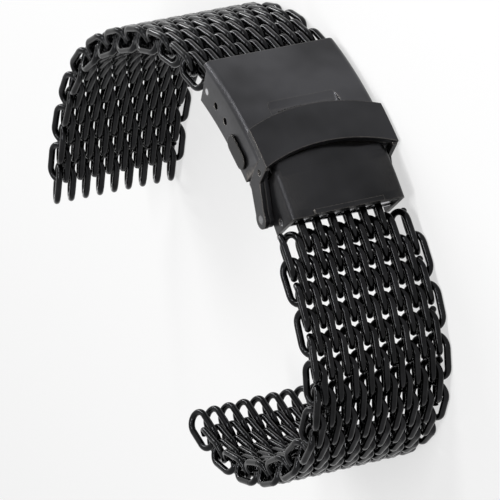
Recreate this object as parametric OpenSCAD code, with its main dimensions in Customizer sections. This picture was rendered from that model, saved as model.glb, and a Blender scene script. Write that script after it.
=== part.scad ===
// Mesh watch band of spiral wire rows with a folding clasp, lying on its side edge.
// X and Y span the ring, Z runs across the width from mid width, +Z is the upper edge.
// The origin is the axis of the watch spring bar in the end loops of the upper strap.

/* [Mesh] */
// Distance between neighbouring wires; the mesh is 17 of these and one wire wide
wire_step = 1.23; // [1.22:0.01:1.25]
// Diameter of the wire
wire_d = 1.0; // [0.9:0.02:1.0]
// Thickness of the mesh over both faces
mesh_thick = 4.1; // [4.0:0.05:4.2]
// Distance from one row to the next
row_pitch = 3.65; // [3.62:0.01:3.75]
// Half length of the straight part of each wire
straight_half = 1.45; // [1.4:0.01:1.5]
// Distance from a row's middle to the spring bar in its loops
bar_inset = 1.5; // [1.4:0.05:1.55]

/* [Clasp] */
// Radius of the clasp at the mesh mid-surface
clasp_r = 50; // [45:1:60]
// Half width of the cover
cover_half = 10.5; // [10.3:0.05:10.55]
// Height of the cover's outer face above the mesh mid-surface
cover_top = 3.9; // [3.7:0.1:4.2]
// Thickness of the top plates of cover and end piece
plate_t = 0.9; // [0.8:0.05:1.0]
// Thickness of the cover's side walls
wall_t = 0.8; // [0.7:0.05:0.9]
// Depth of the side walls below the mesh mid-surface
wall_drop = 2.4; // [2.2:0.1:2.6]
// Arc position of the adjust hole nearest the upper strap
adjust_first = -5.9; // [-6.1:0.1:-5.7]
// Distance between the adjust holes
adjust_step = 3.1; // [2.8:0.1:3.3]
// Thickness of the flip-lock band
lock_t = 1.0; // [0.8:0.05:1.2]
// Running gap between sliding or turning faces
gap = 0.05; // [0.04:0.01:0.08]

/* [Spring bars] */
// Diameter of the spring bar tubes
tube_d = 1.6; // [1.5:0.05:1.7]
// Diameter of the spring bar tips
tip_d = 1.0; // [0.9:0.05:1.1]
// Travel of a spring bar tip
tip_travel = 0.75; // [0.7:0.05:0.8]
// Diameter of the short hinge pins
pin_d = 1.2; // [1.0:0.05:1.3]

/* [Buttons] */
// Length of the release button
button_len = 5.5; // [5:0.1:6]
// Height of the release button
button_h = 2.6; // [2.4:0.1:2.8]
// Reach of the button's outer face from mid width
button_reach = 10.9; // [10.8:0.02:10.94]
// Travel of the button
button_travel = 0.6; // [0.5:0.05:0.65]

/* [Resting curve] */
// Bend of the upper strap at its first row at rest, in degrees
upper_first = 3.5; // [0:0.5:15]
// Bend of the upper strap at its fifth row at rest, in degrees
upper_fifth = 7.5; // [0:0.5:15]
// Bend of the upper strap at its ninth row at rest, in degrees
upper_ninth = 2; // [0:0.5:15]
// Bend of the upper strap at its thirteenth row at rest, in degrees
upper_thirteenth = 7.5; // [0:0.5:15]
// Bend of the upper strap at its seventeenth row at rest, in degrees
upper_seventeenth = 6; // [0:0.5:15]
// Bend of the upper strap at its last row at rest, in degrees
upper_last = 0; // [0:0.5:15]
// Bend of the lower strap at its first row at rest, in degrees
lower_first = 0; // [0:0.5:15]
// Bend of the lower strap at its fifth row at rest, in degrees
lower_fifth = 6.5; // [0:0.5:15]
// Bend of the lower strap at its ninth row at rest, in degrees
lower_ninth = 15; // [0:0.5:15]
// Bend of the lower strap at its thirteenth row at rest, in degrees
lower_thirteenth = 5.5; // [0:0.5:15]
// Bend of the lower strap at its seventeenth row at rest, in degrees
lower_seventeenth = 6.5; // [0:0.5:15]
// Bend of the lower strap at its last row at rest, in degrees
lower_last = 11.5; // [0:0.5:15]

/* [Hidden] */
$fn = 48;
bars_full = 18;
bar_n = (mesh_thick - wire_d) / 2;
bar_step = wire_step;
bend_r = sqrt(pow(bar_step, 2) + pow(2 * bar_n, 2)) / 2;
bend_tilt = atan2(bar_step, 2 * bar_n);
close_angle = 95;
bend_thin = 0.03;
bend_in = 2;
arc_deg = 180 / (PI * clasp_r);
arc_mid = 5.5;
adjust_arc = adjust_first;
end_arc = 17.9;
plate_in = cover_top - plate_t;
ear_out = cover_half - wall_t + 0.1;
ear_in = ear_out - 0.7;
leg_in = ear_out + gap;
leg_out = cover_half + gap;
end_out = ear_in - 0.1;
end_in = end_out - 0.7;
arm_out = end_in - 0.45;
arm_in = arm_out - 1.0;
blade_half = arm_in - 0.2;
blade_lo = -2.3;
blade_hi = -1.3;
pivot_arc = 16.0;
pivot_n = -2.5;
h1_arc = 10.6;
h2_arc = -2.9;
hinge_n = (blade_lo + blade_hi) / 2;
corner_r = 1.0;
lock_lo = cover_top + gap;
lock_hi = lock_lo + lock_t;
lock_far = 11.8;
lock_near = 5.9;
lock_bulge = 2.3;
bow_r = (pow(leg_out, 2) + pow(lock_bulge, 2)) / (2 * lock_bulge);
button_arc = 5.4;
button_n = -0.8;
hole_r = tip_d / 2 + gap;

// bend at each row at rest, between the rows named above
upper_bend = [for (k = [0:19]) rest_bend(k, upper_first, upper_fifth, upper_ninth, upper_thirteenth,
  upper_seventeenth, upper_last)];
lower_bend = [for (k = [0:19]) rest_bend(k, lower_first, lower_fifth, lower_ninth, lower_thirteenth,
  lower_seventeenth, lower_last)];

function rest_bend(k, a, b, c, d, e, f) = lookup(k, [[0, a], [4, b], [8, c], [12, d], [16, e], [19, f]]);
// point of the clasp at an arc position and height, about the clasp's own centre
function pt(a, n) = [(clasp_r + n) * sin((a - arc_mid) * arc_deg), (clasp_r + n) * cos((a - arc_mid) * arc_deg)];
function dir(h) = [cos(h), sin(h)];
function sum_to(v, k, i = 0) = i > k ? 0 : v[i] + sum_to(v, k, i + 1);
// heading of row k, counted from 0 at the clasp
function up_head(k) = (arc_mid - adjust_arc) * arc_deg + sum_to(upper_bend, k);
function low_head(k) = (arc_mid - end_arc) * arc_deg - sum_to(lower_bend, k);
function up_pos(k) = k == 0 ? pt(adjust_arc, 0) - bar_inset * dir(up_head(0))
  : up_pos(k - 1) - row_pitch / 2 * (dir(up_head(k - 1)) + dir(up_head(k)));
function low_pos(k) = k == 0 ? pt(end_arc, 0) + bar_inset * dir(low_head(0))
  : low_pos(k - 1) + row_pitch / 2 * (dir(low_head(k - 1)) + dir(low_head(k)));
function up_joint(k) = k == 0 ? pt(adjust_arc, 0) : up_pos(k) + row_pitch / 2 * dir(up_head(k));
function low_joint(k) = k == 0 ? pt(end_arc, 0) : low_pos(k) - row_pitch / 2 * dir(low_head(k));
upper_eye = up_pos(19) - bar_inset * dir(up_head(19));
lower_eye = low_pos(19) + bar_inset * dir(low_head(19));
shift = -upper_eye;

echo(joints_up = [for (k = [0:19]) up_joint(k) + shift]);
echo(joints_low = [for (k = [0:19]) low_joint(k) + shift]);
echo(bend_up = upper_bend, bend_low = lower_bend);
echo(heads_up = [for (k = [0:19]) up_head(k)]);
echo(heads_low = [for (k = [0:19]) low_head(k)]);
echo(lower_eye = lower_eye + shift, centre = shift);
echo(h1 = pt(h1_arc, hinge_n) + shift, h2 = pt(h2_arc, hinge_n) + shift, pivot = pt(pivot_arc, pivot_n) + shift);
echo(button = pt(button_arc, button_n) + shift, adjust = pt(adjust_arc, 0) + shift, end = pt(end_arc, 0) + shift);
echo(adjust_2 = pt(adjust_arc + adjust_step, 0) + shift, adjust_3 = pt(adjust_arc + 2 * adjust_step, 0) + shift);

module in_frame() { translate([shift[0], shift[1], 0]) children(); }
module at(a, n) { translate([pt(a, n)[0], pt(a, n)[1], 0]) rotate([0, 0, (arc_mid - a) * arc_deg]) children(); }
// sector of a profile drawn as [height, width], swept along the clasp
module sweep(a0, a1) {
  rotate([0, 0, 90 - (a1 - arc_mid) * arc_deg]) rotate_extrude(angle = (a1 - a0) * arc_deg, $fn = 120)
    translate([clasp_r, 0]) children();
}
module block(a0, a1, n0, n1, w0, w1) { sweep(a0, a1) translate([n0, w0]) square([n1 - n0, w1 - w0]); }
module both() { children(); mirror([0, 0, 1]) children(); }
module post(a, n, d, w0, w1) { at(a, n) translate([0, 0, w0]) cylinder(d = d, h = w1 - w0); }

// U-shaped section open towards the wrist, rounded at the outer corners
module channel(half, bottom, top, t_top, t_side, r) {
  difference() {
    union() {
      translate([bottom, -half]) square([top - r - bottom, 2 * half]);
      translate([top - r - 0.5, r - half]) square([r + 0.5, 2 * (half - r)]);
      for (s = [-1, 1]) translate([top - r, s * (half - r)]) circle(r = r);
    }
    translate([bottom - 1, t_side - half]) square([top - t_top - bottom + 1, 2 * (half - t_side)]);
  }
}

// bend at one end of a straight bar, leaning towards the next bar; it is a hair thinner than
// the bars and starts a little inside them
module bend(z_mid, end, lean, from, turn) {
  translate([end * straight_half, 0, z_mid]) rotate([lean * bend_tilt, 0, 0]) mirror([end < 0 ? 1 : 0, 0, 0])
    rotate([0, 0, from]) rotate_extrude(angle = turn) translate([bend_r, 0]) circle(d = wire_d - bend_thin);
}
// one row: a single wire wound as a flat spiral, its last hooks bent back at the edges
module spiral(bars) {
  z0 = -(bars - 1) / 2 * bar_step;
  for (m = [0:bars - 1]) translate([-straight_half, m % 2 == 0 ? -bar_n : bar_n, z0 + m * bar_step])
    rotate([0, 90, 0]) cylinder(d = wire_d, h = 2 * straight_half);
  for (m = [0:bars - 2]) bend(z0 + (m + 0.5) * bar_step, m % 2 == 0 ? -1 : 1, m % 2 == 0 ? 1 : -1,
    -90 - bend_in, 180 + 2 * bend_in);
  bend(z0 + 0.5 * bar_step, 1, 1, -90 - bend_in, close_angle + bend_in);
  bend(z0 + (bars - 1.5) * bar_step, 1, 1, 90 - close_angle, close_angle + bend_in);
}
module row_a(bars) { mirror([0, 0, 1]) spiral(bars); }
module row_b(bars) { rotate([0, 180, 0]) row_a(bars); }
module upper_row(k) {
  color("#3a3d42") in_frame() translate([up_pos(k)[0], up_pos(k)[1], 0]) rotate([0, 0, up_head(k)])
    if (k % 2 == 0) row_b(k == 0 ? 14 : bars_full); else row_a(bars_full);
}
module lower_row(k) {
  color("#3a3d42") in_frame() translate([low_pos(k)[0], low_pos(k)[1], 0]) rotate([0, 0, low_head(k)])
    if (k == 0) row_b(12); else if (k % 2 == 1) row_b(bars_full); else row_a(bars_full);
}

module pill(len, h, w0, w1) {
  both_ends = (len - h) / 2;
  for (s = [-1, 1]) translate([s * both_ends, 0, w0]) cylinder(d = h, h = w1 - w0);
  translate([-both_ends, -h / 2, w0]) cube([2 * both_ends, h, w1 - w0]);
}
// straight bar with round ends between two points of the clasp
module link(a0, n0, a1, n1, d, w0, w1) {
  p = pt(a0, n0); q = pt(a1, n1);
  v = q - p;
  translate([p[0], p[1], w0]) rotate([0, 0, atan2(v[1], v[0])]) {
    translate([0, -d / 2, 0]) cube([norm(v), d, w1 - w0]);
    cylinder(d = d, h = w1 - w0);
    translate([norm(v), 0, 0]) cylinder(d = d, h = w1 - w0);
  }
}

// ear that carries the flip-lock's rivet and the blade pin, seen from the side
module ear() {
  polygon([pt(8.95, 3.4), pt(10.8, 3.4), pt(11.6, 1.4), pt(pivot_arc + 1.1, pivot_n + 0.7),
    pt(pivot_arc - 0.8, pivot_n - 1.0), pt(12.0, -3.1), pt(9.8, -3.1), pt(9.0, -2.3), pt(8.95, -2.3)]);
  translate(pt(pivot_arc, pivot_n)) circle(d = 2.6);
}
module cover() {
  color("#1f2124") in_frame() difference() {
    union() {
      difference() {
        sweep(-7.9, 11.0) channel(cover_half, -wall_drop, cover_top, plate_t, wall_t, corner_r);
        block(-9, -7.0, -wall_drop - 1, plate_in + 0.05, -12, 12);
        both() block(9.7, 12, -wall_drop - 1, cover_top + 1, ear_out - 0.05, 12);
      }
      both() translate([0, 0, ear_in]) linear_extrude(ear_out - ear_in) ear();
    }
    // fingernail recess
    at(3.6, cover_top + 5.45) translate([0, 0, -4.9]) cylinder(r = 6, h = 9.8);
    for (i = [0:2]) post(adjust_arc + i * adjust_step, 0, 2 * hole_r, -cover_half - 1, cover_half + 1);
    both() {
      at(button_arc, button_n) pill(button_len + 2 * gap, button_h + 2 * gap, cover_half - wall_t - 1, cover_half + 1);
      post(pivot_arc, pivot_n, pin_d, ear_in - 1, ear_out + 1);
      post(h1_arc, hinge_n, pin_d, ear_in - 1, ear_out + 1);
    }
  }
}
// leg of the flip-lock, seen from the side
module leg() {
  polygon([pt(9.85, lock_lo + 0.3), pt(lock_far - 0.1, lock_lo + 0.3), pt(lock_far + 0.2, 1.2),
    pt(pivot_arc + 1.2, pivot_n + 0.7), pt(pivot_arc - 0.9, pivot_n - 1.0), pt(10.4, -1.2), pt(9.85, 1.5)]);
  translate(pt(pivot_arc, pivot_n)) circle(d = 2.8);
}
// cylinder whose surface meets the band's sides at one arc position and bulges towards the
// upper strap at mid width
module bow(a) {
  at(a - lock_bulge, 0) translate([bow_r, -30, 0]) rotate([-90, 0, 0]) cylinder(r = bow_r, h = 60, $fn = 160);
}
module flip_lock() {
  color("#232529") in_frame() difference() {
    union() {
      difference() {
        intersection() {
          block(lock_near - lock_bulge - 0.5, lock_far, lock_lo, lock_hi, -leg_out, leg_out);
          bow(lock_near);
        }
        bow(lock_far);
      }
      both() translate([0, 0, leg_in]) linear_extrude(leg_out - leg_in) leg();
    }
    both() {
      post(pivot_arc, pivot_n, pin_d + 2 * gap, leg_in - 1, leg_out + 1);
      post(11.0, 2.4, 0.9, leg_out - 0.25, leg_out + 1);
    }
  }
}
module flip_rivet(s) {
  color("#5b5e63") in_frame() mirror([0, 0, s]) post(pivot_arc, pivot_n, pin_d, ear_in, leg_out);
}
module blade_pin(s) {
  color("#5b5e63") in_frame() mirror([0, 0, s]) post(h1_arc, hinge_n, pin_d, arm_in, ear_out);
}
module blade_1() {
  color("#2b2d31") in_frame() difference() {
    union() {
      both() {
        block(h2_arc, h1_arc, blade_lo, blade_hi, arm_in, arm_out);
        post(h1_arc, hinge_n, 2.2, arm_in, arm_out);
        post(h2_arc, hinge_n, 1.9, arm_in, arm_out);
      }
      block(6.6, 8.4, blade_hi - 0.3, blade_hi + 0.7, arm_in - 0.1, arm_out);
      block(6.6, 8.4, blade_hi - 0.3, blade_hi + 0.7, -arm_out, -arm_in + 0.1);
      block(6.6, 8.4, blade_hi + 0.1, blade_hi + 0.7, -arm_out, arm_out);
    }
    both() {
      post(h1_arc, hinge_n, pin_d + 2 * gap, arm_in - 1, arm_out + 1);
      post(h2_arc, hinge_n, pin_d - 0.2, arm_in - 1, arm_out + 1);
    }
  }
}
module mid_pin() { color("#5b5e63") in_frame() post(h2_arc, hinge_n, pin_d - 0.2, -arm_out, arm_out); }
module blade_2() {
  color("#2b2d31") in_frame() difference() {
    union() {
      difference() {
        block(h2_arc, 15.2, blade_lo, blade_hi, -end_in, end_in);
        both() block(h2_arc - 2, 12.3, blade_lo - 1, blade_hi + 1, blade_half, end_in + 1);
        at(5.0, hinge_n) translate([0, 0, -2.6]) linear_extrude(5.2) square([8.4, 4], center = true);
      }
      post(h2_arc, hinge_n, 1.9, -blade_half, blade_half);
    }
    post(h2_arc, hinge_n, pin_d - 0.2 + 2 * gap, -blade_half - 1, blade_half + 1);
  }
}
module end_piece() {
  color("#1f2124") in_frame() difference() {
    union() {
      sweep(lock_far + 0.0, 18.9) channel(end_out, -wall_drop, cover_top, plate_t, 0.7, 0.7);
      block(18.2, 18.9, plate_in, cover_top + 0.4, -5.5, 5.5);
    }
    post(end_arc, 0, 2 * hole_r, -end_out - 1, end_out + 1);
  }
}
module button(s) {
  color("#2e3034") in_frame() mirror([0, 0, s]) at(button_arc, button_n) {
    pill(button_len, button_h, cover_half - wall_t - gap, button_reach);
    translate([0, 0.25, 0]) pill(button_len + 1.2, button_h + 0.5, cover_half - wall_t - gap - 0.8,
      cover_half - wall_t - gap);
  }
}
module latch_spring() {
  leaf = cover_half - wall_t - gap - 0.8 - button_travel - gap;
  color("#5b5e63") in_frame() {
    block(6.8, 9.0, 2.4, plate_in, -ear_in + 0.1, ear_in - 0.1);
    block(4.2, 6.8, 2.4, plate_in, -leaf, leaf);
    both() block(4.6, 6.2, -1.0, 2.5, leaf - 0.25, leaf);
    block(4.2, 5.2, -1.0, 2.5, -2, 2);
  }
}
module bar_tube(a, half) {
  color("#8d9096") in_frame() difference() {
    post(a, 0, tube_d, -half, half);
    both() post(a, 0, 2 * hole_r, half - 4, half + 1);
  }
}
module bar_tip(a, half, out, s) {
  color("#b9bcc1") in_frame() mirror([0, 0, s]) post(a, 0, tip_d, half - 4 + tip_travel + 0.1, out);
}
adjust_half = cover_half - wall_t - gap;
end_half = end_in - gap;

module flip_rivet_upper() { flip_rivet(0); }
module flip_rivet_lower() { flip_rivet(1); }
module blade_pin_upper() { blade_pin(0); }
module blade_pin_lower() { blade_pin(1); }
module button_upper() { button(0); }
module button_lower() { button(1); }
module adjust_bar_tube() { bar_tube(adjust_arc, adjust_half); }
module adjust_tip_upper() { bar_tip(adjust_arc, adjust_half, cover_half - gap, 0); }
module adjust_tip_lower() { bar_tip(adjust_arc, adjust_half, cover_half - gap, 1); }
module end_bar_tube() { bar_tube(end_arc, end_half); }
module end_tip_upper() { bar_tip(end_arc, end_half, end_out - gap, 0); }
module end_tip_lower() { bar_tip(end_arc, end_half, end_out - gap, 1); }
module upper_row_01() { upper_row(0); }
module upper_row_02() { upper_row(1); }
module upper_row_03() { upper_row(2); }
module upper_row_04() { upper_row(3); }
module upper_row_05() { upper_row(4); }
module upper_row_06() { upper_row(5); }
module upper_row_07() { upper_row(6); }
module upper_row_08() { upper_row(7); }
module upper_row_09() { upper_row(8); }
module upper_row_10() { upper_row(9); }
module upper_row_11() { upper_row(10); }
module upper_row_12() { upper_row(11); }
module upper_row_13() { upper_row(12); }
module upper_row_14() { upper_row(13); }
module upper_row_15() { upper_row(14); }
module upper_row_16() { upper_row(15); }
module upper_row_17() { upper_row(16); }
module upper_row_18() { upper_row(17); }
module upper_row_19() { upper_row(18); }
module upper_row_20() { upper_row(19); }
module lower_row_01() { lower_row(0); }
module lower_row_02() { lower_row(1); }
module lower_row_03() { lower_row(2); }
module lower_row_04() { lower_row(3); }
module lower_row_05() { lower_row(4); }
module lower_row_06() { lower_row(5); }
module lower_row_07() { lower_row(6); }
module lower_row_08() { lower_row(7); }
module lower_row_09() { lower_row(8); }
module lower_row_10() { lower_row(9); }
module lower_row_11() { lower_row(10); }
module lower_row_12() { lower_row(11); }
module lower_row_13() { lower_row(12); }
module lower_row_14() { lower_row(13); }
module lower_row_15() { lower_row(14); }
module lower_row_16() { lower_row(15); }
module lower_row_17() { lower_row(16); }
module lower_row_18() { lower_row(17); }
module lower_row_19() { lower_row(18); }
module lower_row_20() { lower_row(19); }

cover();
flip_lock();
flip_rivet_upper();
flip_rivet_lower();
blade_pin_upper();
blade_pin_lower();
blade_1();
mid_pin();
blade_2();
end_piece();
button_upper();
button_lower();
latch_spring();
adjust_bar_tube();
adjust_tip_upper();
adjust_tip_lower();
end_bar_tube();
end_tip_upper();
end_tip_lower();
upper_row_01();
upper_row_02();
upper_row_03();
upper_row_04();
upper_row_05();
upper_row_06();
upper_row_07();
upper_row_08();
upper_row_09();
upper_row_10();
upper_row_11();
upper_row_12();
upper_row_13();
upper_row_14();
upper_row_15();
upper_row_16();
upper_row_17();
upper_row_18();
upper_row_19();
upper_row_20();
lower_row_01();
lower_row_02();
lower_row_03();
lower_row_04();
lower_row_05();
lower_row_06();
lower_row_07();
lower_row_08();
lower_row_09();
lower_row_10();
lower_row_11();
lower_row_12();
lower_row_13();
lower_row_14();
lower_row_15();
lower_row_16();
lower_row_17();
lower_row_18();
lower_row_19();
lower_row_20();
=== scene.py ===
"""Looks of a dark mesh watch band with a folding clasp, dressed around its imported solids."""

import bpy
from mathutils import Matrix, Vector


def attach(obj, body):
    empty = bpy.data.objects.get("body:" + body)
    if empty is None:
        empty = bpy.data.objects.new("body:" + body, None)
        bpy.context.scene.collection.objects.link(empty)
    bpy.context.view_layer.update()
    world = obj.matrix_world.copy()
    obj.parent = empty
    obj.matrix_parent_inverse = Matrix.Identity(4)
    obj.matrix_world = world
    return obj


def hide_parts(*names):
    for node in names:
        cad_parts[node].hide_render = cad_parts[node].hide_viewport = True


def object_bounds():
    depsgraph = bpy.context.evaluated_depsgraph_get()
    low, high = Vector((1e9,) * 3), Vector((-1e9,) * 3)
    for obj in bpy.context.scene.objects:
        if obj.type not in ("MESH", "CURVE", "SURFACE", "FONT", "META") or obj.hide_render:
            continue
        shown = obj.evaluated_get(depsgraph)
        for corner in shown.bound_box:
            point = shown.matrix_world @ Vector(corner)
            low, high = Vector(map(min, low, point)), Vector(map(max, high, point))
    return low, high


bl_info = {
    "name": "Mesh Watch Band",
    "version": (1, 0, 0),
    "blender": (4, 5, 0),
    "location": "3D View > Sidebar > Watch Band",
    "description": "Finishes and stage for a spiral-wire mesh band with a folding clasp",
    "category": "Object",
}

from math import cos, pi, sin

import bmesh
import bpy
from mathutils import Matrix, Vector

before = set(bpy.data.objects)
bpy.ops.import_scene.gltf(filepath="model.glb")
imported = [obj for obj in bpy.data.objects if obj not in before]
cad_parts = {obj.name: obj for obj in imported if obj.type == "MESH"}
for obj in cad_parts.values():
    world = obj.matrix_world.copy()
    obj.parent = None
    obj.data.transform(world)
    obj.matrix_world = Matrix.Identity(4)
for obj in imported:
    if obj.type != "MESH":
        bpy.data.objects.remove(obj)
CAD_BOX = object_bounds()

ROWS = [f"{strap}_row_{i:02d}" for strap in ("upper", "lower") for i in range(1, 21)]
BUTTONS = ["button_upper", "button_lower"]
BLADES = ["blade_1", "blade_2", "latch_spring"]
PINS = ["flip_rivet_upper", "flip_rivet_lower", "blade_pin_upper", "blade_pin_lower", "mid_pin"]
SPRING_BARS = ["adjust_bar_tube", "adjust_tip_upper", "adjust_tip_lower",
               "end_bar_tube", "end_tip_upper", "end_tip_lower"]

# The clasp's own frame, as in its solids: a centre in metres, then millimetres along the arc and
# above the mesh's mid-surface.
CLASP_CENTRE = (0.0361114, 0.0089986)
ARC_MID = 5.5
COVER_HALF = 10.5
COVER_END_ARC = 11.0
END_HALF, END_WALL = 9.0, 0.7
PLATE_T = 0.9
CORNER_R, CORNER_STEPS = 1.0, 8
LOCK_NEAR, LOCK_BULGE, LOCK_HALF = 5.9, 2.3, 10.55

RECESS_ARC = 3.6
RECESS_SIDES, RECESS_END_STEPS = 160, 8
RECESS_TIP, RECESS_TIP_R = 0.02, 0.05

SEAM_ARC = 11.62
SEAM_GAP = 0.06
SEAM_STEPS = 48
SEAM_CUT_ARC, SEAM_CUT_HEIGHTS = 11.9, (2.85, 4.4)

# The tongue is a hair smaller than the end piece that it runs into.
TONGUE_FIT, TONGUE_SINK = 0.02, 0.003
TONGUE_LOW, TONGUE_STRAIGHT_FROM, TONGUE_END_ARC = 2.6, 8.9, 12.3
TONGUE_FACE_HALF, TONGUE_FACE_STEP, TONGUE_ROWS = 7.5, 0.5, 6

# First rib's place across, direction and count, then a rib's outline from the flip-lock's edge.
RIB_GROUPS = ((0.5, 1, 8), (-2.0, -1, 5))
RIB_HALF = 0.13
RIB_OUTLINE = ((0.1, 3.97), (-0.2, 3.6), (-0.85, 3.5), (-0.95, 3.62), (-0.3, 4.2), (0.1, 4.5))

# Factors on the coat's colour for each piece. Cover, flip-lock, end piece and ribs wear one and the same
# coat: the cover's and the ribs' factors above 1 are painted light and highlight, the flip-lock's and the end
# piece's below 1 are painted shade. The buttons' factor makes them darker.
COVER_PAINTED_LIGHT, LOCK_PAINTED_SHADE, END_PAINTED_SHADE, BUTTON_SHADE, RIB_PAINTED_LIGHT = 1.45, 0.8, 0.62, 0.3, 2.2
PIN_SHADE, PIN_EDGE = 0.35, 0.00008
SHARP_ANGLE = pi / 9
FACING_LIMIT = 0.94

PICTURE_PX = 500
SENSOR_MM = 36
EYE = (0.33964, 0.54426, 0.28041)
CAMERA_RIGHT = (0.39067, 0.25117, -0.88560)
CAMERA_AHEAD = (-0.46106, -0.77929, -0.42441)
LIT_POINT = (0.034, 0.03, 0)
FLOOR_HALF, FLOOR_GAP = 3, 0.00002
# Each lamp's place from the lit point, to the camera's right, up and ahead, then the direction of
# its height and its two sizes, in metres.
LAMPS = {
    "top": ((-0.31, 0.26, 0.08), "ahead", (0.03, 0.30)),
    "left": ((-0.29, -0.06, -0.33), "up", (0.022, 0.30)),
    "edge": ((-0.24, 0.26, -0.24), "up", (0.035, 0.22)),
}


class WireFinish(bpy.types.PropertyGroup):
    """Plated finish of the woven wire."""

    colour: bpy.props.FloatVectorProperty(
        name="Wire colour", description="Dark plating of the wire", subtype="COLOR",
        size=3, min=0, max=1, default=(0.012, 0.0122, 0.013))
    roughness: bpy.props.FloatProperty(
        name="Wire roughness", description="Blur of the wire's highlights", subtype="FACTOR",
        min=0, max=1, default=0.1)
    wear: bpy.props.FloatProperty(
        name="Wire wear", description="How much the plating varies from place to place",
        subtype="FACTOR", min=0, max=1, default=0.35)
    draw_marks: bpy.props.FloatProperty(
        name="Drawing marks", description="Height of the fine marks left by drawing the wire",
        subtype="FACTOR", min=0, max=1, default=0.08)


class ClaspFinish(bpy.types.PropertyGroup):
    """Satin black coat of the clasp and the plain steel inside it."""

    colour: bpy.props.FloatVectorProperty(
        name="Coat colour", description="Satin black coat of cover, flip-lock and end piece",
        subtype="COLOR", size=3, min=0, max=1, default=(0.034, 0.034, 0.0365))
    roughness: bpy.props.FloatProperty(
        name="Coat roughness", description="Blur of the coat's highlights", subtype="FACTOR",
        min=0, max=1, default=0.33)
    edge_radius: bpy.props.FloatProperty(
        name="Edge radius", description="Rounding that the edges show in the light", unit="LENGTH",
        min=0, max=0.001, default=0.00025)
    edge_wear: bpy.props.FloatProperty(
        name="Edge wear", description="How far the coat is worn through along the edges",
        subtype="FACTOR", min=0, max=1, default=0.75)
    edge_colour: bpy.props.FloatVectorProperty(
        name="Worn edge colour", description="Warm grey steel under the worn coat", subtype="COLOR",
        size=3, min=0, max=1, default=(0.24, 0.22, 0.2))
    brush_scale: bpy.props.FloatProperty(
        name="Brush lines", description="Brush lines for each millimetre of the coat",
        min=0.5, max=20, default=6)
    steel: bpy.props.FloatVectorProperty(
        name="Pin steel", description="Bright turned steel of pins and spring bar tips",
        subtype="COLOR", size=3, min=0, max=1, default=(0.56, 0.56, 0.58))


class ClaspSizes(bpy.types.PropertyGroup):
    """Sizes of the small forms on the clasp, in millimetres."""

    radius: bpy.props.FloatProperty(
        name="Clasp radius", description="Radius of the clasp at the mesh mid-surface, in millimetres",
        min=30, max=80, default=50)
    top: bpy.props.FloatProperty(
        name="Cover height",
        description="Height of the cover's outer face above the mid-surface, in millimetres",
        min=3, max=5, default=3.9)
    recess_half: bpy.props.FloatProperty(
        name="Recess half width", description="Half width of the recess's floor, in millimetres",
        min=3, max=7, default=4.92)
    recess_slope: bpy.props.FloatProperty(
        name="Recess slope", description="Length of the sloped ends of the recess, in millimetres",
        min=0.2, max=2, default=0.6)
    recess_r: bpy.props.FloatProperty(
        name="Recess radius", description="Radius of the recess's floor, in millimetres",
        min=3, max=8, default=4.3)
    recess_depth: bpy.props.FloatProperty(
        name="Recess depth", description="Depth of the recess at its middle, in millimetres",
        min=0.6, max=0.85, default=0.78)
    rib_step: bpy.props.FloatProperty(
        name="Rib spacing", description="Distance between the grip ribs on the flip-lock, in millimetres",
        min=0.3, max=1.5, default=0.52)


class StageSettings(bpy.types.PropertyGroup):
    """Camera, lamps and floor."""

    focal_px: bpy.props.FloatProperty(
        name="Focal length", description="Focal length in pixels of a picture 500 pixels wide",
        min=500, max=9000, default=4506.2)
    top_power: bpy.props.FloatProperty(
        name="Top lamp", description="Power of the lamp at the upper left that streaks the upper strap",
        unit="POWER", min=0, max=50, default=0.9)
    left_power: bpy.props.FloatProperty(
        name="Left lamp",
        description="Power of the upright lamp that draws lines of light on the lower strap",
        unit="POWER", min=0, max=50, default=1.0)
    edge_power: bpy.props.FloatProperty(
        name="Edge lamp", description="Power of the lamp at the upper left that lights the clasp's long edge",
        unit="POWER", min=0, max=50, default=0.5)
    sky: bpy.props.FloatProperty(
        name="Sky", description="Strength of the even light from all round",
        min=0, max=2, default=0.2)
    floor_glow: bpy.props.FloatProperty(
        name="Floor glow",
        description="Share of plain white in the floor as it is seen, which lightens the shadow",
        subtype="FACTOR", min=0, max=1, default=0.6)
    floor_colour: bpy.props.FloatVectorProperty(
        name="Floor colour", description="Pale floor under the band", subtype="COLOR",
        size=3, min=0, max=1, default=(0.93, 0.93, 0.93))


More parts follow.
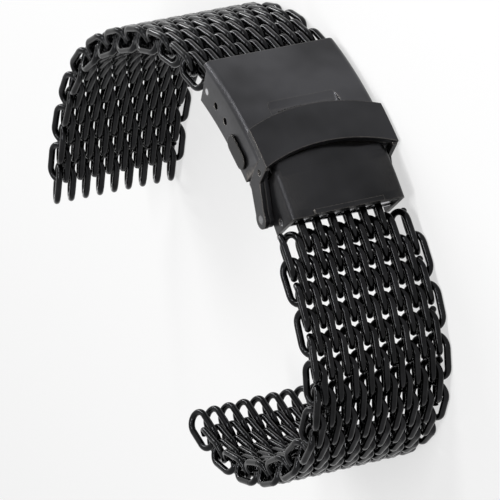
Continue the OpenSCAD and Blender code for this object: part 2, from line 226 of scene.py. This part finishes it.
class Graph:
    """A material's node tree, with short calls to add and join nodes."""

    def __init__(self, name):
        self.material = bpy.data.materials.new(name)
        self.material.use_nodes = True
        self.tree = self.material.node_tree
        self.shader = self.tree.nodes["Principled BSDF"]

    def add(self, kind, **settings):
        node = self.tree.nodes.new(kind)
        for key, value in settings.items():
            setattr(node, key, value)
        return node

    def join(self, source, target):
        self.tree.links.new(source, target)

    def place(self, scale=(1, 1, 1)):
        """Object coordinates in millimetres, stretched by scale."""
        where = self.add("ShaderNodeTexCoord")
        stretch = self.add("ShaderNodeMapping")
        stretch.inputs["Scale"].default_value = [1000 * s for s in scale]
        self.join(where.outputs["Object"], stretch.inputs["Vector"])
        return stretch.outputs["Vector"]

    def noise(self, where, scale, detail):
        """A noise with about scale blotches for each unit of where."""
        node = self.add("ShaderNodeTexNoise")
        node.inputs["Scale"].default_value = scale
        node.inputs["Detail"].default_value = detail
        self.join(where, node.inputs["Vector"])
        return node.outputs["Fac"]

    def span(self, fac, low, high, low_in=0.35, high_in=0.65):
        """Maps fac from low_in..high_in to low..high."""
        node = self.add("ShaderNodeMapRange")
        limits = {"From Min": low_in, "From Max": high_in, "To Min": low, "To Max": high}
        for key, value in limits.items():
            node.inputs[key].default_value = value
        self.join(fac, node.inputs["Value"])
        return node.outputs["Result"]

    def tint(self, fac, low, high):
        """A colour between low and high; low may be a colour or another node's output."""
        node = self.add("ShaderNodeMix", data_type="RGBA")
        if isinstance(low, tuple):
            node.inputs[6].default_value = (*low, 1)
        else:
            self.join(low, node.inputs[6])
        node.inputs[7].default_value = (*high, 1)
        self.join(fac, node.inputs[0])
        return node.outputs[2]

    def times(self, first, second):
        """Product of two outputs, or of an output and a number."""
        node = self.add("ShaderNodeMath", operation="MULTIPLY", use_clamp=True)
        self.join(first, node.inputs[0])
        if isinstance(second, float):
            node.inputs[1].default_value = second
        else:
            self.join(second, node.inputs[1])
        return node.outputs[0]

    def bump(self, height, distance, strength, normal=None):
        node = self.add("ShaderNodeBump")
        node.inputs["Distance"].default_value = distance
        node.inputs["Strength"].default_value = strength
        self.join(height, node.inputs["Height"])
        if normal:
            self.join(normal, node.inputs["Normal"])
        return node.outputs["Normal"]

    def edge_mask(self, radius, amount, patches):
        """How far a rounded normal leaves the flat one, broken up by a noise."""
        geometry = self.add("ShaderNodeNewGeometry")
        dot = self.add("ShaderNodeVectorMath", operation="DOT_PRODUCT")
        self.join(self.soft_edges(radius), dot.inputs[0])
        self.join(geometry.outputs["True Normal"], dot.inputs[1])
        edge = self.span(dot.outputs["Value"], 1, 0, low_in=0.72, high_in=0.985)
        return self.times(edge, self.span(patches, 0.35 * amount, amount))

    def soft_edges(self, radius):
        """A normal that rounds the piece's own edges."""
        node = self.add("ShaderNodeBevel", samples=4)
        node.inputs["Radius"].default_value = radius
        return node.outputs["Normal"]


def scaled(colour, factor):
    """A colour made lighter or darker, at most white."""
    return tuple(min(1.0, c * factor) for c in colour)


def plated_wire(finish):
    """Polished dark plating: nearly even, slightly cloudy, with faint marks along the wire."""
    g = Graph("plated_wire")
    s = g.shader
    s.inputs["Metallic"].default_value = 0.9
    cloud = g.noise(g.place(), scale=0.35, detail=2)
    fine = g.noise(g.place(), scale=5.5, detail=3)
    colour, rough, wear = finish.colour, finish.roughness, finish.wear
    g.join(g.tint(g.span(cloud, 0, 1), scaled(colour, 1 - 0.5 * wear), scaled(colour, 1 + wear)),
           s.inputs["Base Color"])
    g.join(g.span(fine, rough * (1 - 0.35 * wear), rough * (1 + 0.6 * wear)), s.inputs["Roughness"])
    g.join(g.bump(fine, distance=0.00002, strength=finish.draw_marks), s.inputs["Normal"])
    return g.material


def satin_coat(finish, name, gloss=1.0, across=True, tone_and_painted_light=1.0):
    """Satin black coat over brushed steel, worn lighter along its edges; its colour is scaled by a factor
    that is painted light on some pieces and painted shade on others.
    """
    g = Graph(name)
    s = g.shader
    s.inputs["Metallic"].default_value = 0.9
    stretch = (0.25, 0.25, 1) if across else (1, 1, 0.2)
    lines = g.noise(g.place(stretch), scale=finish.brush_scale, detail=4)
    cloud = g.noise(g.place(), scale=0.12, detail=2)
    colour, rough = finish.colour, finish.roughness / gloss
    # The piece's factor scales the coat colour: for the cover and the ribs it is painted light, for the
    # flip-lock and the end piece painted shade.
    plain = g.tint(g.span(cloud, 0, 1), scaled(colour, 0.72 * tone_and_painted_light), scaled(colour, 1.3 * tone_and_painted_light))
    edge = g.edge_mask(finish.edge_radius, finish.edge_wear, lines)
    # The worn edge colour is scaled by the same factor, so it carries the same painted light and shade.
    worn = g.tint(edge, plain, scaled(finish.edge_colour, min(1.0, tone_and_painted_light + 0.1)))
    g.join(worn, s.inputs["Base Color"])
    g.join(g.span(lines, rough * 0.85, rough * 1.15), s.inputs["Roughness"])
    rounded = g.soft_edges(finish.edge_radius)
    g.join(g.bump(lines, distance=0.00001, strength=0.12, normal=rounded), s.inputs["Normal"])
    return g.material


def turned_steel(name, colour, roughness):
    """Turned steel with fine marks."""
    g = Graph(name)
    s = g.shader
    s.inputs["Metallic"].default_value = 1.0
    marks = g.noise(g.place(), scale=9, detail=3)
    g.join(g.tint(g.span(marks, 0, 1), scaled(colour, 0.85), colour), s.inputs["Base Color"])
    g.join(g.span(marks, roughness * 0.8, roughness * 1.3), s.inputs["Roughness"])
    rounded = g.soft_edges(PIN_EDGE)
    g.join(g.bump(marks, distance=0.00001, strength=0.1, normal=rounded), s.inputs["Normal"])
    return g.material


def dress(names, material):
    """Gives CAD nodes a material."""
    for name in names:
        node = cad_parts[name]
        if not node.material_slots:
            node.data.materials.append(material)
        for material_slot in node.material_slots:
            material_slot.material = material


class BAND_OT_mesh_rows(bpy.types.Operator):
    """Plate all rows of the woven mesh"""

    bl_idname = "band.mesh_rows"
    bl_label = "Mesh rows"

    def execute(self, context):
        dress(ROWS, plated_wire(context.scene.band_wire))
        return {"FINISHED"}


class BAND_OT_clasp_shell(bpy.types.Operator):
    """Coat the flip-lock and the release buttons"""

    bl_idname = "band.clasp_shell"
    bl_label = "Flip-lock and buttons"

    def execute(self, context):
        finish = context.scene.band_clasp
        # The flip-lock's coat is darkened here as painted shade.
        lock_coat = satin_coat(finish, "satin_lock", gloss=0.9, across=False, tone_and_painted_light=LOCK_PAINTED_SHADE)
        dress(["flip_lock"], lock_coat)
        dress(BUTTONS, satin_coat(finish, "satin_button", gloss=1.4, tone_and_painted_light=BUTTON_SHADE))
        return {"FINISHED"}


def clasp_point(sizes, arc, height, across):
    """Point of the clasp, in metres, from millimetres along its arc, above the mid-surface and across."""
    turn = (arc - ARC_MID) / sizes.radius
    reach = (sizes.radius + height) / 1000
    return Vector((CLASP_CENTRE[0] + reach * sin(turn), CLASP_CENTRE[1] + reach * cos(turn), across / 1000))


def bulged(arc, across):
    """Arc position of a curve parallel to the flip-lock's edges that meets the band's sides at arc."""
    return arc - LOCK_BULGE * (1 - (across / LOCK_HALF) ** 2)


def object_of(name, mesh):
    """A new object in the scene."""
    new = bpy.data.objects.new(name, mesh)
    bpy.context.collection.objects.link(new)
    return new


def mesh_of(name, form):
    """Turns a bmesh into a mesh whose faces look outwards."""
    bmesh.ops.recalc_face_normals(form, faces=form.faces)
    mesh = bpy.data.meshes.new(name)
    form.to_mesh(mesh)
    form.free()
    return mesh


def clasp_piece(name, body, mesh, material, node=None):
    """A coated piece of the clasp that rides on a body and may replace a CAD node."""
    mesh.name = name
    mesh.materials.clear()
    mesh.materials.append(material)
    piece = object_of(name, mesh)
    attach(piece, body)
    if node:
        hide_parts(node)


def add_band(form, low, high):
    """Faces between two closed loops of as many points."""
    for i in range(len(low)):
        j = (i + 1) % len(low)
        form.faces.new((low[i], low[j], high[j], high[i]))


def closed_grid(points):
    """Closed skin over a grid of points whose rows are closed loops."""
    form = bmesh.new()
    rows = [[form.verts.new(point) for point in row] for row in points]
    for low, high in zip(rows, rows[1:]):
        add_band(form, low, high)
    form.faces.new(rows[0])
    form.faces.new(rows[-1])
    return form


def recess_cutter(sizes):
    """Body whose lower side is the pressed fingernail recess, with sloped ends."""
    lift = sizes.recess_r - sizes.recess_depth
    axis = clasp_point(sizes, RECESS_ARC, sizes.top + lift, 0)
    stations = [(sizes.recess_half + sizes.recess_slope + RECESS_TIP, RECESS_TIP_R)]
    for k in range(RECESS_END_STEPS + 1):
        a = pi / 2 * k / RECESS_END_STEPS
        stations.append((sizes.recess_half + sizes.recess_slope * cos(a), lift + sizes.recess_depth * sin(a)))
    stations += [(-z, r) for z, r in reversed(stations)]
    turns = [2 * pi * k / RECESS_SIDES for k in range(RECESS_SIDES)]
    return closed_grid([[axis + Vector((r * cos(turn), r * sin(turn), z)) / 1000 for turn in turns]
                        for z, r in stations])


def seam_cutter(sizes):
    """Crescent that trims the cover's plate back to the seam."""
    half_steps = SEAM_STEPS / 2
    places = [(END_HALF + SEAM_GAP) * (i / half_steps - 1) for i in range(SEAM_STEPS + 1)]
    outline = [(bulged(SEAM_ARC, z), z) for z in places] + [(SEAM_CUT_ARC, z) for z in reversed(places)]
    return closed_grid([[clasp_point(sizes, arc, n, z) for arc, z in outline] for n in SEAM_CUT_HEIGHTS])


def end_tongue(sizes):
    """Plate that carries the end piece's face on to the curved seam."""
    half, corner = END_HALF - TONGUE_FIT, CORNER_R - TONGUE_FIT
    inner, under = half - (END_WALL - 2 * TONGUE_FIT), sizes.top - (PLATE_T - TONGUE_FIT)
    turns = [pi / 2 * k / CORNER_STEPS for k in range(CORNER_STEPS + 1)]
    rounded = [(half - corner + corner * cos(a), sizes.top - corner + corner * sin(a)) for a in turns]
    steps = round(2 * TONGUE_FACE_HALF / TONGUE_FACE_STEP)
    across = [TONGUE_FACE_HALF - TONGUE_FACE_STEP * k for k in range(steps + 1)]
    section = rounded + [(z, sizes.top) for z in across] + [(-z, n) for z, n in reversed(rounded)]
    section += [(-half, TONGUE_LOW), (-inner, TONGUE_LOW), (-inner, under)]
    section += [(-z, under) for z in across]
    section += [(inner, under), (inner, TONGUE_LOW), (half, TONGUE_LOW)]
    rows = []
    for i in range(TONGUE_ROWS + 1):
        row = []
        for z, n in section:
            edge = bulged(SEAM_ARC, z) if abs(z) < TONGUE_STRAIGHT_FROM else COVER_END_ARC
            start = edge + SEAM_GAP
            arc = start + (TONGUE_END_ARC - start) * i / TONGUE_ROWS
            row.append(clasp_point(sizes, arc, n - TONGUE_SINK, z))
        rows.append(row)
    # The seam end is closed by one warped face, which costs the joined plate about 11.5 of its
    # 209 cubic millimetres there. A strip of quads between upper and lower edge would mend it.
    return closed_grid(rows)


def grip_ribs(sizes):
    """Two groups of short ribs on the flip-lock's curved upper edge."""
    form = bmesh.new()
    for first, way, count in RIB_GROUPS:
        for i in range(count):
            z = first + way * sizes.rib_step * i
            edge = bulged(LOCK_NEAR, z)
            sides = [[form.verts.new(clasp_point(sizes, edge + out, n, z + side)) for out, n in RIB_OUTLINE]
                     for side in (-RIB_HALF, RIB_HALF)]
            for side in sides:
                form.faces.new(side)
            add_band(form, *sides)
    return form


def combined(name, forms, operation):
    """A CAD node's shape, copied, with bodies cut from it or joined to it."""
    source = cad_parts[name]
    blank = object_of("blank", source.data.copy())
    blank.matrix_world = source.matrix_world.copy()
    tools = []
    for form in forms:
        tool = object_of("tool", mesh_of("tool", form))
        cut = blank.modifiers.new("cut", "BOOLEAN")
        cut.operation, cut.solver, cut.object = operation, "EXACT", tool
        tools.append(tool)
    bpy.context.view_layer.update()
    depsgraph = bpy.context.evaluated_depsgraph_get()
    result = bpy.data.meshes.new_from_object(blank.evaluated_get(depsgraph))
    if not result.polygons:
        raise RuntimeError(f"nothing is left of {name}")
    result.transform(blank.matrix_world)
    for scrap in (blank, *tools):
        bpy.data.objects.remove(scrap)
    return result


def shade_plate(mesh, sizes, half):
    """Sets normals that follow the plate's curved face and its rounded long edges."""
    mesh.shade_smooth()
    mesh.set_sharp_from_angle(angle=SHARP_ANGLE)
    normals = [corner.vector.copy() for corner in mesh.corner_normals]
    centre = Vector((*CLASP_CENTRE, 0))
    for face in mesh.polygons:
        for k in face.loop_indices:
            point = mesh.vertices[mesh.loops[k].vertex_index].co
            outwards = Vector((point.x - centre.x, point.y - centre.y, 0))
            rise = outwards.length * 1000 - sizes.radius - (sizes.top - CORNER_R)
            over = abs(point.z) * 1000 - (half - CORNER_R)
            if rise < 0:
                continue
            ideal = outwards.normalized()
            if over > 0:
                ideal = ideal * rise + Vector((0, 0, over if point.z > 0 else -over))
                ideal.normalize()
            if face.normal.dot(ideal) > FACING_LIMIT:
                normals[k] = ideal
    mesh.normals_split_custom_set(normals)


class BAND_OT_clasp_forms(bpy.types.Operator):
    """Build the cover with its pressed recess, the end piece with its curved edge, and the grip ribs"""

    bl_idname = "band.clasp_forms"
    bl_label = "Clasp forms"

    def execute(self, context):
        finish, sizes = context.scene.band_clasp, context.scene.band_sizes
        cover = combined("cover", (recess_cutter(sizes), seam_cutter(sizes)), "DIFFERENCE")
        shade_plate(cover, sizes, COVER_HALF)
        # The cover's coat is lightened here as painted light.
        coat = satin_coat(finish, "satin_cover", tone_and_painted_light=COVER_PAINTED_LIGHT)
        clasp_piece("cover_shell", "cover", cover, coat, node="cover")

        end = combined("end_piece", (end_tongue(sizes),), "UNION")
        shade_plate(end, sizes, END_HALF)
        # The end piece's coat is darkened here as painted shade.
        coat = satin_coat(finish, "satin_end", tone_and_painted_light=END_PAINTED_SHADE)
        clasp_piece("end_shell", "end_blade", end, coat, node="end_piece")

        ribs = mesh_of("grip_ribs", grip_ribs(sizes))
        # The ribs' coat is lightened here as a painted highlight.
        coat = satin_coat(finish, "satin_ribs", tone_and_painted_light=RIB_PAINTED_LIGHT)
        clasp_piece("grip_ribs", "flip_lock", ribs, coat)
        return {"FINISHED"}


class BAND_OT_clasp_inside(bpy.types.Operator):
    """Finish the folding blades, the latch, the pins and the spring bars"""

    bl_idname = "band.clasp_inside"
    bl_label = "Clasp inside"

    def execute(self, context):
        finish = context.scene.band_clasp
        dress(BLADES, satin_coat(finish, "satin_blade", gloss=1.2, across=False))
        dress(PINS, turned_steel("dark_pin_steel", scaled(finish.steel, PIN_SHADE), roughness=0.3))
        dress(SPRING_BARS, turned_steel("spring_bar_steel", finish.steel, roughness=0.22))
        return {"FINISHED"}


def seen_rays(tree):
    """1 for rays from the camera and for those mirrored or let through, 0 for the rest."""
    path = tree.nodes.new("ShaderNodeLightPath")
    total = path.outputs["Is Camera Ray"]
    for kind in ("Is Glossy Ray", "Is Transmission Ray"):
        node = tree.nodes.new("ShaderNodeMath")
        node.operation = "ADD"
        node.use_clamp = True
        tree.links.new(total, node.inputs[0])
        tree.links.new(path.outputs[kind], node.inputs[1])
        total = node.outputs[0]
    return total


def mixed(tree, fac, first, second, output):
    """Joins two shaders, by fac, to an output."""
    mix = tree.nodes.new("ShaderNodeMixShader")
    for source, target in zip((fac, first.outputs[0], second.outputs[0]), mix.inputs):
        tree.links.new(source, target)
    tree.links.new(mix.outputs[0], output.inputs["Surface"])


def set_camera(scene, focal_px):
    """Puts the camera where the photograph was taken, and returns its right, up and ahead."""
    ahead = Vector(CAMERA_AHEAD).normalized()
    down = ahead.cross(Vector(CAMERA_RIGHT).normalized()).normalized()
    right = down.cross(ahead).normalized()
    camera = bpy.data.cameras.new("photo_camera")
    camera.sensor_width = SENSOR_MM
    camera.lens = focal_px * SENSOR_MM / PICTURE_PX
    camera.clip_start, camera.clip_end = 0.01, 20
    scene.camera = object_of("photo_camera", camera)
    turn = Matrix((right, -down, -ahead)).transposed()
    scene.camera.matrix_world = Matrix.Translation(EYE) @ turn.to_4x4()
    return right, -down, ahead


def add_lamp(name, where, aim, upright, size, power):
    """A soft rectangular lamp at a point, aimed at another, its height along upright."""
    data = bpy.data.lights.new(name, "AREA")
    data.shape = "RECTANGLE"
    data.size, data.size_y = size
    data.energy = power
    back = (where - aim).normalized()
    side = upright.cross(back).normalized()
    turn = Matrix((side, back.cross(side), back)).transposed()
    object_of(name, data).matrix_world = Matrix.Translation(where) @ turn.to_4x4()


def add_floor(stage):
    """Pale floor under the band, which keeps a light shadow."""
    low = CAD_BOX[0][2] - FLOOR_GAP
    mesh = bpy.data.meshes.new("floor")
    corners = [(FLOOR_HALF * x, FLOOR_HALF * y, low) for x, y in ((-1, -1), (1, -1), (1, 1), (-1, 1))]
    mesh.from_pydata(corners, [], [(0, 1, 2, 3)])
    g = Graph("pale_floor")
    g.shader.inputs["Base Color"].default_value = (*stage.floor_colour, 1)
    g.shader.inputs["Roughness"].default_value = 0.9
    g.shader.inputs["Specular IOR Level"].default_value = 0.1
    share = g.times(seen_rays(g.tree), stage.floor_glow)
    mixed(g.tree, share, g.shader, g.add("ShaderNodeEmission"), g.tree.nodes["Material Output"])
    mesh.materials.append(g.material)
    floor = object_of("floor", mesh)


def set_world(scene, sky):
    """White surroundings as seen and mirrored, and an even light of strength sky on the rest."""
    scene.world = bpy.data.worlds.new("white_room")
    scene.world.use_nodes = True
    tree = scene.world.node_tree
    tree.nodes.clear()
    backgrounds = []
    for strength in (sky, 1):
        node = tree.nodes.new("ShaderNodeBackground")
        node.inputs["Color"].default_value = (1, 1, 1, 1)
        node.inputs["Strength"].default_value = strength
        backgrounds.append(node)
    mixed(tree, seen_rays(tree), *backgrounds, tree.nodes.new("ShaderNodeOutputWorld"))


class BAND_OT_stage(bpy.types.Operator):
    """Set the camera, the lamps, the pale floor and the white surroundings"""

    bl_idname = "band.stage"
    bl_label = "Stage"

    def execute(self, context):
        scene, stage = context.scene, context.scene.band_stage
        right, up, ahead = set_camera(scene, stage.focal_px)
        add_floor(stage)
        centre = Vector(LIT_POINT)
        for name, (place, height_along, size) in LAMPS.items():
            where = centre + place[0] * right + place[1] * up + place[2] * ahead
            upright = up if height_along == "up" else ahead
            add_lamp(f"{name}_lamp", where, centre, upright, size, getattr(stage, f"{name}_power"))
        set_world(scene, stage.sky)
        scene.view_settings.view_transform = "Standard"
        return {"FINISHED"}


class BAND_PT_panel(bpy.types.Panel):
    """Sidebar list of the band's pieces and finishes"""

    bl_label = "Watch Band"
    bl_idname = "BAND_PT_panel"
    bl_space_type = "VIEW_3D"
    bl_region_type = "UI"
    bl_category = "Watch Band"

    def draw(self, context):
        scene = context.scene
        for group in (scene.band_wire, scene.band_clasp, scene.band_sizes, scene.band_stage):
            box = self.layout.box()
            for key in group.__annotations__:
                box.prop(group, key)
        for step in STEPS:
            self.layout.operator(step.bl_idname)


STEPS = [BAND_OT_mesh_rows, BAND_OT_clasp_shell, BAND_OT_clasp_forms, BAND_OT_clasp_inside, BAND_OT_stage]
CLASSES = [WireFinish, ClaspFinish, ClaspSizes, StageSettings, *STEPS, BAND_PT_panel]


def register():
    for cls in CLASSES:
        bpy.utils.register_class(cls)
    bpy.types.Scene.band_wire = bpy.props.PointerProperty(type=WireFinish)
    bpy.types.Scene.band_clasp = bpy.props.PointerProperty(type=ClaspFinish)
    bpy.types.Scene.band_sizes = bpy.props.PointerProperty(type=ClaspSizes)
    bpy.types.Scene.band_stage = bpy.props.PointerProperty(type=StageSettings)


def unregister():
    del bpy.types.Scene.band_stage, bpy.types.Scene.band_sizes
    del bpy.types.Scene.band_clasp, bpy.types.Scene.band_wire
    for cls in reversed(CLASSES):
        bpy.utils.unregister_class(cls)


def main():
    register()
    bpy.ops.band.mesh_rows()
    bpy.ops.band.clasp_shell()
    bpy.ops.band.clasp_forms()
    bpy.ops.band.clasp_inside()
    bpy.ops.band.stage()


if __name__ == "__main__":
    main()
